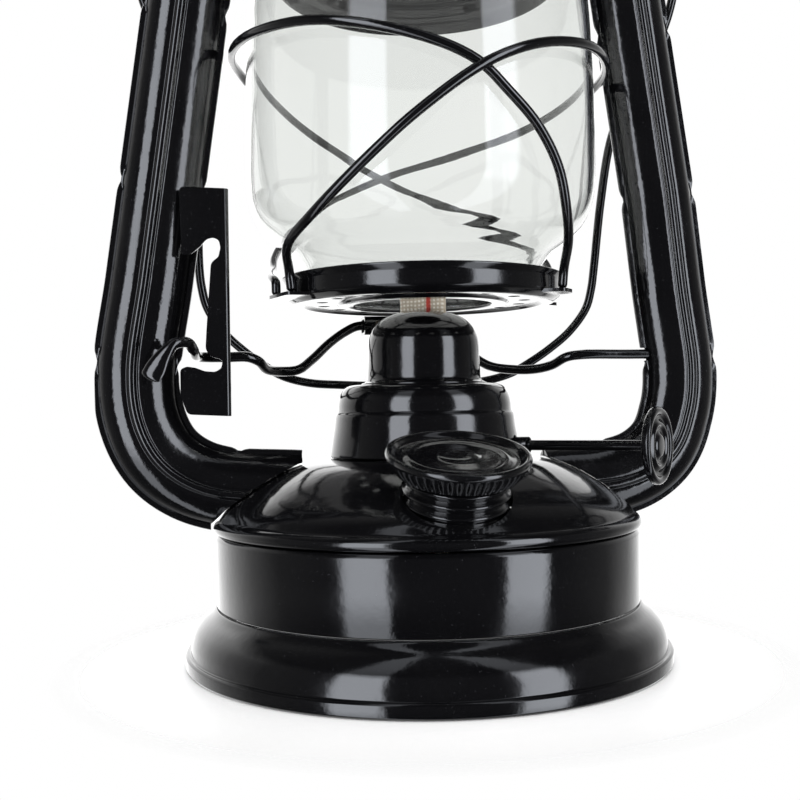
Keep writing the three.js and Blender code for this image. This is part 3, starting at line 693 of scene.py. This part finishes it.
# ---- bracket and crank ----
def bracket():
    """A flat plate with a keyhole slot, folded back along its inner edge."""
    outline = [(-57.6, 110.5), (-47.6, 110.3), (-36.6, 110.0), (-36.6, 58.2), (-47.6, 58.2), (-56.4, 58.7),
               (-57.9, 63), (-57.9, 69), (-56.4, 69.6), (-54.5, 69.3), (-52.4, 68.5), (-50, 68.3), (-48.7, 69.2),
               (-48.4, 70.8), (-49.2, 71.3), (-50.8, 71.7), (-52.2, 73.4), (-51.9, 78), (-50.7, 93.2), (-49, 94.6),
               (-48.5, 96.6), (-48.8, 98.4), (-50, 99.0), (-51.6, 98.6), (-53, 96.9), (-55, 95.2), (-57.2, 94.8)]
    radii = [1.2, 0, 1.5, 1.5, 0, 1.5, 2, 2, 1.5, 2, 2, 2, 1, 0.6, 0.6, 1.2, 2, 3, 2, 1, 2, 1.5, 2, 2, 2, 2, 1]
    flat = rounded(outline, radii, 4)
    bm = bmesh.new()
    loop = [bm.verts.new((p.x, 0, p.y)) for p in flat]
    edges = [bm.edges.new((loop[i], loop[(i + 1) % len(loop)])) for i in range(len(loop))]
    hole = [bm.verts.new((-47.6 + 7.7 + 1.6 * math.cos(a), 0, CRANK_Z + 1.6 * math.sin(a)))
            for a in [k / 24 * 2 * math.pi for k in range(24)]]
    edges += [bm.edges.new((hole[i], hole[(i + 1) % 24])) for i in range(24)]
    bmesh.ops.triangle_fill(bm, edges=edges, use_beauty=True)
    fold, bend = -47.6, 1.1
    for k in range(7):
        x = fold + bend * math.pi / 2 * k / 6
        bmesh.ops.bisect_plane(bm, geom=bm.verts[:] + bm.edges[:] + bm.faces[:], plane_co=(x, 0, 0),
                               plane_no=(1, 0, 0), dist=1e-4)
    arc = bend * math.pi / 2
    for v in bm.verts:
        s = v.co.x - fold
        if s <= 0:
            v.co.y = 0
        elif s < arc:
            a = s / bend
            v.co.x = fold + bend * math.sin(a)
            v.co.y = bend * (1 - math.cos(a))
        else:
            v.co.x = fold + bend
            v.co.y = bend + (s - arc)
    for v in bm.verts:
        v.co.y = min(v.co.y - 7.12, 3.5)
    bmesh.ops.recalc_face_normals(bm, faces=bm.faces)
    if sum(f.normal.y for f in bm.faces if f.calc_center_median().x < -50) > 0:
        bmesh.ops.reverse_faces(bm, faces=bm.faces)
    bmesh.ops.scale(bm, vec=(MM, MM, MM), verts=bm.verts)
    mesh = bpy.data.meshes.new("lever_bracket_folded")
    bm.to_mesh(mesh)
    bm.free()
    obj = bpy.data.objects.new("lever_bracket_folded", mesh)
    bpy.context.scene.collection.objects.link(obj)
    mesh.materials.append(ENAMEL)
    for poly in mesh.polygons:
        poly.use_smooth = True
    thick = obj.modifiers.new("sheet", "SOLIDIFY")
    thick.thickness = 0.8 * MM
    thick.offset = -1
    soft = obj.modifiers.new("edge", "BEVEL")
    soft.width = 0.2 * MM
    soft.segments = 2
    soft.angle_limit = math.radians(50)
    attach(obj, "frame")
    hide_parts("lever_bracket")


def crank():
    y, z = 24, 9.1
    parts = [(62.4, 0, 0), (52, 0, 0), (41, 0, 0), (37, 1.2, -0.5), (34.3, 5.5, -2.4), (31, 10, -3.2),
             (26.5, 14.5, -3), (21.5, 18.5, -1.8), (17.6, 21.6, 1.4), (15, 23.4, 6), (12.4, y, z), (6, y, z),
             (-6, y, z), (-12.4, y, z), (-15.8, 22.8, 7.6), (-20.5, 19.5, 4.4), (-25.5, 15.5, 0), (-29.5, 11.8, -2.7),
             (-34, 9.5, -3.1), (-37.6, 5.5, -2.7), (-39.8, 1.4, -0.9), (-42.4, 0, 0), (-47, 0, 0), (-51.2, -0.3, 0),
             (-53.8, -2.6, 0), (-54.5, -6.5, 0.2), (-54.9, -11, 1.2), (-56.2, -14.6, 2.6), (-58.8, -16.4, 2.2),
             (-61.4, -16.95, -0.6), (-63.9, -17.2, -4.8)]

    def flat(t):
        press = min(1.0, max(0.0, (t - 0.925) / 0.045))
        return 1 + 0.95 * press, 1 - 0.45 * press
    rod = wire([(a, b, CRANK_Z + c) for a, b, c in parts], CRANK_WIRE_R, 14, flat=flat)
    piece("lift_crank_wire", *rod, ENAMEL_WIRE, "lift_lever", "enamel", ["lift_crank"])


# ---- globe carriage ----
def globe_plate():
    path = rounded([(17.0, 84.2), (20.2, 84.2), (20.9, 84.75), (28.3, 84.75), (29.0, 84.15), (31.4, 84.15),
                    (33.3, 85.6), (33.3, 88.9), (34.1, 90.1)],
                   [0, 0.5, 0.5, 0.5, 0.5, 1.5, 1.5, 1, 0], 4, closed=False)
    dish = piece("globe_plate_dish", *spun(sheet_profile(path, 0.6), 144), ENAMEL, "globe_carriage", "enamel",
                 ["globe_plate"])
    lugs = []
    for heading, half in ((-163, 7.1), (-40, 3.9), (15, 3.9)):
        turn = Matrix.Rotation(math.radians(heading), 4, "Z")
        shape = rounded([(32.5, -half), (37.7, -half + 1.2), (37.7, half - 1.2), (32.5, half)], [0, 1.8, 1.8, 0], 5)
        verts = [turn @ Vector((p.x, p.y, z)) for z in (84.95, 85.75) for p in shape]
        n = len(shape)
        faces = [(k, (k + 1) % n, n + (k + 1) % n, n + k) for k in range(n)]
        faces += [tuple(reversed(range(n))), tuple(range(n, 2 * n))]
        lugs.append(raw(verts, faces))
    boolean(dish, lugs, "UNION")
    holes = []
    for i in range(VENT_COUNT):
        angle = (i + 0.1) / VENT_COUNT * 2 * math.pi
        x, y = VENT_CIRCLE_R * math.cos(angle), VENT_CIRCLE_R * math.sin(angle)
        holes.append(raw(*disc_bar((x, y, 82), (x, y, 88), VENT_R, 20)))
    boolean(dish, holes)
    ring_out = rounded([(21.7, 83.6), (21.7, 78.7), (28.1, 78.7), (28.1, 83.6)], 1.2, 5)
    ring_in = rounded([(22.4, 82.85), (22.4, 79.45), (27.4, 79.45), (27.4, 82.85)], 0.7, 5)
    verts, n = [], len(ring_out)
    for x in (-10.9, 10.9):
        verts += [Vector((x, p.x, p.y)) for p in ring_out] + [Vector((x, p.x, p.y)) for p in ring_in]
    faces = []
    for k in range(n):
        m = (k + 1) % n
        faces += [(k, m, 2 * n + m, 2 * n + k), (n + m, n + k, 3 * n + k, 3 * n + m),
                  (m, k, n + k, n + m), (2 * n + k, 2 * n + m, 3 * n + m, 3 * n + k)]
    piece("plate_strap_bent", verts, faces, ENAMEL, "globe_carriage", "enamel", ["plate_strap"])


LOOP_LEFT = [(-156, 36.3, 86.7), (-155.5, 36.9, 90), (-147, 41.2, 94.9), (-133, 44.4, 100), (-115, 45.6, 110.7),
             (-102, 46, 119.2), (-85, 46.1, 128.9), (-68, 45.5, 134.8), (-44, 45, 138.4), (-15, 44.9, 139.3),
             (10, 44.9, 138.2), (35, 44.6, 134.9), (60, 44.1, 131.3), (90, 43.7, 124.8), (115, 43.9, 115),
             (134, 43.6, 104.6), (147, 40.6, 98.6), (159, 37.5, 94.2), (178, 36.5, 91), (-171.5, 36.3, 88.8),
             (-171, 36.3, 86.7)]
LOOP_RIGHT = [(-40, 36, 86.7), (-41, 36.6, 90), (-50, 40.8, 95.6), (-56.8, 43.8, 101.5), (-61, 44.4, 110),
              (-68, 44.1, 118), (-77, 43.7, 124.5), (-86, 43.6, 130.2), (-101, 44, 134.7), (-128, 44.8, 139.8),
              (-155, 45, 142.2), (180, 45, 143.4), (158, 45.2, 143.6), (140, 45.3, 140.4), (124, 45.7, 136),
              (112, 46, 132.3), (93, 46.2, 124.6), (75, 46.1, 117), (58, 45.8, 112), (42, 44.9, 105.6),
              (25, 41.4, 96.8), (16, 37.2, 91), (15, 36.1, 88.8), (15, 36.1, 86.7)]


def guard():
    for name, route in (("left", LOOP_LEFT), ("right", LOOP_RIGHT)):
        points = [(r * math.cos(math.radians(a)), r * math.sin(math.radians(a)), z) for a, r, z in route]
        piece(f"guard_wire_{name}", *wire(points, GUARD_WIRE_R, 14), ENAMEL_WIRE, "globe_carriage", "enamel",
              [f"guard_loop_{name}"])


def globe():
    outer = smooth([(28.3, 85.9), (28.3, 90), (28.8, 92.6), (30.3, 95), (33.1, 97.3), (36.4, 99.9), (39.2, 103.2),
                    (41.1, 107.6), (41.8, 113), (41.95, 120), (41.95, 128), (41.7, 140), (41.1, 152), (40.1, 162),
                    (39.05, 168.2)], 6)
    tangent = [(outer[min(i + 1, len(outer) - 1)] - outer[max(i - 1, 0)]).normalized() for i in range(len(outer))]
    inner = [p + Vector((-t.y, t.x)) * 1.45 for p, t in zip(outer, tangent)]
    profile = ([Vector((27.6, 85.45)), Vector((28.1, 85.5))] + outer + [Vector((38.7, 168.5)), Vector((38.0, 168.5))]
               + list(reversed(inner)) + [Vector((27.1, 85.5))])
    piece("glass_globe_blown", *spun(profile, 128), GLASS, "globe_carriage", "glass", ["glass_globe"], sharp=60)


# ---- chimney and air chamber ----
def chimney():
    path = rounded([(20.75, 169.7), (24.9, 169.7), (26.2, 167.5), (29.6, 167.5), (30.9, 165.3), (33.3, 164.5),
                    (34.1, 161.9), (34.9, 161.9), (36.2, 168.7), (39.5, 169.5)],
                   [0, 0.8, 0.8, 0.8, 0.8, 0.8, 0.4, 0.4, 1, 0], 4, closed=False)
    piece("globe_holder_ringed", *spun(sheet_profile(path, 0.7), 128), ENAMEL, "chimney", "enamel", ["globe_holder"])
    flue = piece("chimney_flue", *spun(rounded([(19.4, 168.85), (20.25, 168.85), (20.25, 241.35), (19.4, 241.35)],
                                               0.3, 3), 96), ENAMEL, "chimney", "enamel", ["chimney_tube"])
    vents = []
    for i in range(4):
        x, y = math.cos(i * math.pi / 4) * 26, math.sin(i * math.pi / 4) * 26
        vents.append(raw(*disc_bar((x, y, 234.6), (-x, -y, 234.6), 2.5, 24)))
    boolean(flue, vents)
    path = smooth([(29.3, 230.25), (30.0, 230.3), (30.3, 230.9), (30.0, 231.6), (28.9, 234), (27.1, 238),
                   (25, 240.7), (22, 242.75), (18, 244.3), (13, 245.7), (7, 247.0), (3, 247.4)], 5)
    path += [Vector((0, 247.5))]
    piece("hood_spun", *spun(sheet_profile(path, 0.7), 128), ENAMEL, "chimney", "enamel", ["hood"])
    staple = [(-2.8, 0, 247.6), (-2.8, 0, 250.4), (-2.2, 0, 252.6), (0, 0, 253.9), (2.2, 0, 252.6), (2.8, 0, 250.4),
              (2.8, 0, 247.6)]
    piece("ring_staple_wire", *wire(staple, 0.78), ENAMEL_WIRE, "chimney", "enamel", ["ring_staple"])
    tilt = Matrix.Translation((0, 0, 251.2)) @ Matrix.Rotation(-math.radians(13), 4, "Y")
    verts, faces = [], []
    major, minor = 72, 14
    for i in range(major):
        a = i / major * 2 * math.pi
        for k in range(minor):
            b = k / minor * 2 * math.pi
            r = 9 + 0.98 * math.cos(b)
            verts.append(tilt @ Vector((r * math.cos(a) - 9, r * math.sin(a), 0.98 * math.sin(b))))
    for i in range(major):
        for k in range(minor):
            n, m = (i + 1) % major, (k + 1) % minor
            faces.append((i * minor + k, n * minor + k, n * minor + m, i * minor + m))
    piece("lift_ring_wire", verts, faces, ENAMEL_WIRE, "ring", "enamel", ["lift_ring"])


def air_chamber():
    """The pan and lid, each cut away where the side tubes enter."""
    tubes = []
    for side in (-1, 1):
        ends = ((24, 197.2), (30.4, 197), (36.5, 196.2), (42, 193.7))
        line = smooth([Vector((side * x, 0, z)) for x, z in ends], 4)
        oval = [(6.1 * math.cos(k / 24 * math.pi), 10.4 * math.sin(k / 24 * math.pi)) for k in range(48)]
        tubes.append(swept(line, lambda i, t: oval, across=Vector((0, 1, 0))))
    pan = rounded([(21.4, 185.6), (30.4, 185.6), (31.9, 187.1), (31.9, 195.4), (33.9, 195.4)],
                  [0, 1, 1, 0.9, 0], 4, closed=False)
    pan_obj = piece("chamber_pan_pressed", *spun(sheet_profile(pan, 0.7), 128), ENAMEL, "frame", "enamel",
                    ["chamber_pan"])
    boolean(pan_obj, [raw(*t) for t in tubes])
    lid = rounded([(33.9, 197.6), (31.9, 197.6), (31.9, 207.2), (30.1, 209.3), (23.7, 210.9), (21.4, 211.4)],
                  [0, 0.9, 1.5, 1.5, 1, 0], 4, closed=False)
    lid_obj = piece("chamber_lid_pressed", *spun(sheet_profile(lid, 0.7), 128), ENAMEL, "frame", "enamel",
                    ["chamber_lid"])
    boolean(lid_obj, [raw(*t) for t in tubes])


# ---- bail ----
def bail():
    half = [(63, 0), (66.6, 0), (67.8, 1.6), (67.3, 8), (65.8, 17), (61.4, 29), (56.4, 38.4), (54, 48), (53.3, 64),
            (53.2, 82), (52.6, 88), (51.2, 93.4), (47, 100), (41.7, 105.1), (36.6, 109), (31.5, 112.1),
            (24.5, 114.1), (16, 114.8)]

    def out(s):
        """How far the right arm is sprung outward at s along the wire's plane."""
        if s < 40:
            return 1.4 * clamped(s / 10)
        return 1.4 - 0.6 * clamped((s - 40) / 20) + 0.8 * clamped((s - 84) / 8) * clamped((112 - s) / 10)
    points = [(x + out(s), s) for x, s in half] + [(0, 115.3)] + [(-x, s) for x, s in reversed(half)]
    placed = [(x, s * math.sin(BAIL_HANG), BAIL_PIVOT_Z - s * math.cos(BAIL_HANG)) for x, s in points]
    piece("bail_wire", *wire(placed, BAIL_WIRE_R, 14), ENAMEL_WIRE, "bail", "enamel", ["bail"])
    for name, side in (("left", -1), ("right", 1)):
        arc = [(4 * math.cos(a), BAIL_PIVOT_Z + 4 * math.sin(a)) for a in [k / 24 * math.pi for k in range(25)]]
        outline = rounded([(-3.9, 167.7), (3.9, 167.7)], 0) + [Vector(p) for p in arc]
        outline = [Vector((p[0] * 0.98, p[1])) for p in outline]
        n = len(outline)
        verts = [Vector((side * x, p.x, p.y)) for x in (63.75, 64.85) for p in outline]
        faces = [(k, (k + 1) % n, n + (k + 1) % n, n + k) for k in range(n)]
        faces += [tuple(reversed(range(n))), tuple(range(n, 2 * n))]
        ear = piece(f"bail_ear_{name}", verts, faces, ENAMEL, "frame", "enamel", [f"ear_{name}"])
        boolean(ear, [raw(*disc_bar((side * 62, 0, BAIL_PIVOT_Z), (side * 67, 0, BAIL_PIVOT_Z), 1.5))])
        soft = ear.modifiers.new("edge", "BEVEL")
        soft.width = 0.25 * MM
        soft.segments = 3
        soft.angle_limit = math.radians(40)
        turn = Matrix.Translation((side * 65.2, 0, 170)) @ Matrix.Rotation(side * math.pi / 2, 4, "Y")
        head = [(0, 0.02), (1.65, 0.02), (1.6, 0.25), (1.25, 0.6), (0.7, 0.76), (0, 0.79)]
        piece(f"ear_rivet_{name}_head", *moved(spun(head, 32), turn), ENAMEL, "frame", "steel", [f"ear_rivet_{name}"])


tank()
filler()
burner()
side_tubes()
bracket()
crank()
globe_plate()
guard()
globe()
chimney()
air_chamber()
bail()


# ---- stage, light and camera ----
FLOOR_R = 420
FADE_START, FADE_END = 0.062, 0.088  # metres from the middle
CAMERA_AT = Vector((-0.05435, -0.25436, 0.05928))
CAMERA_RIGHT = Vector((0.98230, -0.18658, -0.01687))
CAMERA_FORWARD = Vector((0.18673, 0.98238, 0.00791))


def studio():
    """White all round, with two soft boxes that only reflections see."""
    scene = bpy.context.scene
    scene.view_settings.view_transform = "Standard"
    rim = [Vector((FLOOR_R * math.cos(k / 48 * math.pi), FLOOR_R * math.sin(k / 48 * math.pi), -0.02))
           for k in range(96)]
    verts = [Vector((0, 0, -0.02))] + rim
    faces = [(0, k + 1, (k + 1) % 96 + 1) for k in range(96)]
    mesh = bpy.data.meshes.new("floor")
    mesh.from_pydata([tuple(c * MM for c in v) for v in verts], [], faces)
    floor = bpy.data.objects.new("floor", mesh)
    scene.collection.objects.link(floor)
    tidy(mesh, 30)
    mat, nodes, links, shader, coords = node_material("floor_white")
    grain = noise(nodes, links, coords, 40, 2)
    links.new(tint(nodes, links, grain, [(0.3, (0.93, 0.93, 0.93)), (0.7, (0.96, 0.96, 0.96))]),
              shader.inputs["Base Color"])
    shader.inputs["Roughness"].default_value = 0.45
    radius = nodes.new("ShaderNodeVectorMath")
    radius.operation = "LENGTH"
    links.new(coords.outputs["Object"], radius.inputs[0])
    fade = spread(nodes, links, radius.outputs["Value"], 1, 0, FADE_START, FADE_END)
    links.new(fade, shader.inputs["Alpha"])
    mesh.materials.append(mat)
    floor.visible_glossy = False

    world = bpy.data.worlds.new("studio")
    scene.world = world
    world.use_nodes = True
    nodes, links = world.node_tree.nodes, world.node_tree.links
    back = nodes["Background"]
    coords = nodes.new("ShaderNodeTexCoord")
    parts = nodes.new("ShaderNodeSeparateXYZ")
    links.new(coords.outputs["Generated"], parts.inputs[0])

    def math_node(op, a, b=None):
        node = nodes.new("ShaderNodeMath")
        node.operation = op
        for socket, value in zip(node.inputs, (a, b)):
            if value is None:
                continue
            if isinstance(value, (int, float)):
                socket.default_value = value
            else:
                links.new(value, socket)
        return node.outputs[0]
    minus_y = math_node("MULTIPLY", parts.outputs["Y"], -1)
    heading = math_node("ARCTAN2", parts.outputs["X"], minus_y)
    around = math_node("ADD", math_node("DIVIDE", heading, 2 * math.pi), 0.5)

    def at(degrees):
        return degrees / 360 + 0.5
    black, lit = (0.04, 0.04, 0.045), (4.6, 4.8, 5.2)
    ring = tint(nodes, links, around, [
        (at(-180), (2.0,) * 3), (at(-150), (1.5,) * 3), (at(-118), (0.5,) * 3), (at(-95), (0.13,) * 3),
        (at(-58), black), (at(-54.5), lit), (at(-33), lit), (at(-31), black), (at(28), black), (at(30), lit),
        (at(50), lit), (at(54), black), (at(95), (0.13,) * 3), (at(118), (0.5,) * 3), (at(150), (1.5,) * 3),
        (at(180), (2.0,) * 3)])
    height = tint(nodes, links, math_node("ADD", math_node("MULTIPLY", parts.outputs["Z"], 0.5), 0.5), [
        (0.0, (0.35,) * 3), (0.28, (0.5,) * 3), (0.36, (1.0,) * 3), (0.74, (1.0,) * 3), (0.82, (0.12,) * 3),
        (1.0, (0.2,) * 3)])
    scaled = nodes.new("ShaderNodeMix")
    scaled.data_type = "RGBA"
    scaled.blend_type = "MULTIPLY"
    scaled.inputs["Factor"].default_value = 1
    links.new(ring, scaled.inputs["A"])
    links.new(height, scaled.inputs["B"])
    path = nodes.new("ShaderNodeLightPath")
    pick = nodes.new("ShaderNodeMix")
    pick.data_type = "RGBA"
    mirrored = math_node("MULTIPLY", path.outputs["Is Glossy Ray"], path.outputs["Is Reflection Ray"])
    links.new(mirrored, pick.inputs["Factor"])
    links.new(scaled.outputs["Result"], pick.inputs["B"])
    soft = nodes.new("ShaderNodeMix")
    soft.data_type = "RGBA"
    through = nodes.new("ShaderNodeMix")
    through.data_type = "RGBA"
    through.inputs["A"].default_value = (1.0, 1.0, 1.0, 1)
    through.inputs["B"].default_value = (0.9, 0.905, 0.89, 1)
    links.new(path.outputs["Is Transmission Ray"], through.inputs["Factor"])
    links.new(through.outputs["Result"], soft.inputs["A"])
    soft.inputs["B"].default_value = (1.85, 1.85, 1.85, 1)
    links.new(path.outputs["Is Diffuse Ray"], soft.inputs["Factor"])
    links.new(soft.outputs["Result"], pick.inputs["A"])
    links.new(pick.outputs["Result"], back.inputs["Color"])
    back.inputs["Strength"].default_value = 1.0

    camera_data = bpy.data.cameras.new("camera")
    camera_data.lens = 48.15
    camera_data.sensor_width = 36
    camera_data.clip_start = 0.01
    camera = bpy.data.objects.new("camera", camera_data)
    scene.collection.objects.link(camera)
    forward = CAMERA_FORWARD.normalized()
    right = (CAMERA_RIGHT - forward * CAMERA_RIGHT.dot(forward)).normalized()
    up = right.cross(forward)
    matrix = Matrix((right, up, -forward)).transposed().to_4x4()
    matrix.translation = CAMERA_AT
    camera.matrix_world = matrix
    scene.camera = camera


studio()
